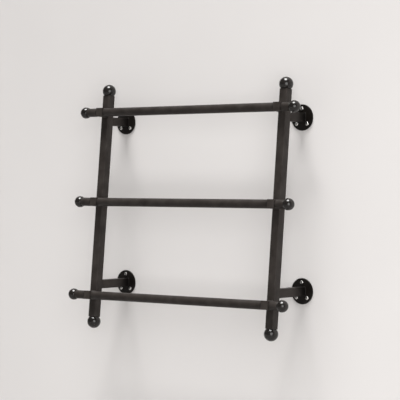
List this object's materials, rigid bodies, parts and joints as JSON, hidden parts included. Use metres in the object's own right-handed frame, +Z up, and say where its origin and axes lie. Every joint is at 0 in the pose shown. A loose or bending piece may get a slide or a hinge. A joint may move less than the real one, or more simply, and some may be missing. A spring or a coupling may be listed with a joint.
{
  "type": "wall-mounted towel rack",
  "caption": "Wall-hung black iron towel rack: leaning square uprights on round wall flanges, round bars between them, ball finials.",
  "frame": {"origin": "centre of the rectangle of the four upper wall screws, on the wall plane", "axes": "+X to the right along the bars, +Y into the wall, +Z up"},
  "size_m": [0.613, 0.1745, 0.5489],
  "materials": {
    "iron_satin": "satin dark iron powder coat",
    "iron_gloss": "polished dark iron lacquer",
    "zinc_steel": "zinc plated",
    "screw_nickel": "nickel plated"
  },
  "bodies": {
    "root": {"left_upright": "iron_satin", "right_upright": "iron_satin", "left_top_end_plug": "zinc_steel", "left_bottom_end_plug": "zinc_steel", "right_top_end_plug": "zinc_steel", "right_bottom_end_plug": "zinc_steel", "left_top_end_ball": "iron_gloss", "left_bottom_end_ball": "iron_gloss", "right_top_end_ball": "iron_gloss", "right_bottom_end_ball": "iron_gloss", "left_end_ball_studs": "zinc_steel", "right_end_ball_studs": "zinc_steel", "top_bar": "iron_satin", "middle_bar": "iron_satin", "bottom_bar": "iron_satin", "left_top_bar_insert": "zinc_steel", "left_middle_bar_insert": "zinc_steel", "left_bottom_bar_insert": "zinc_steel", "right_top_bar_insert": "zinc_steel", "right_middle_bar_insert": "zinc_steel", "right_bottom_bar_insert": "zinc_steel", "left_top_block": "iron_satin", "left_middle_block": "iron_satin", "left_bottom_block": "iron_satin", "right_top_block": "iron_satin", "right_middle_block": "iron_satin", "right_bottom_block": "iron_satin", "left_top_collar": "iron_satin", "left_middle_collar": "iron_satin", "left_bottom_collar": "iron_satin", "right_top_collar": "iron_satin", "right_middle_collar": "iron_satin", "right_bottom_collar": "iron_satin", "left_top_bar_ball": "iron_gloss", "left_middle_bar_ball": "iron_gloss", "left_bottom_bar_ball": "iron_gloss", "right_top_bar_ball": "iron_gloss", "right_middle_bar_ball": "iron_gloss", "right_bottom_bar_ball": "iron_gloss", "left_bar_studs": "zinc_steel", "right_bar_studs": "zinc_steel", "left_top_arm": "iron_satin", "left_bottom_arm": "iron_satin", "right_top_arm": "iron_satin", "right_bottom_arm": "iron_satin", "left_top_flange": "iron_satin", "left_bottom_flange": "iron_satin", "right_top_flange": "iron_satin", "right_bottom_flange": "iron_satin", "left_top_wall_screws": "screw_nickel", "left_bottom_wall_screws": "screw_nickel", "right_top_wall_screws": "screw_nickel", "right_bottom_wall_screws": "screw_nickel"}
  },
  "joints": []
}
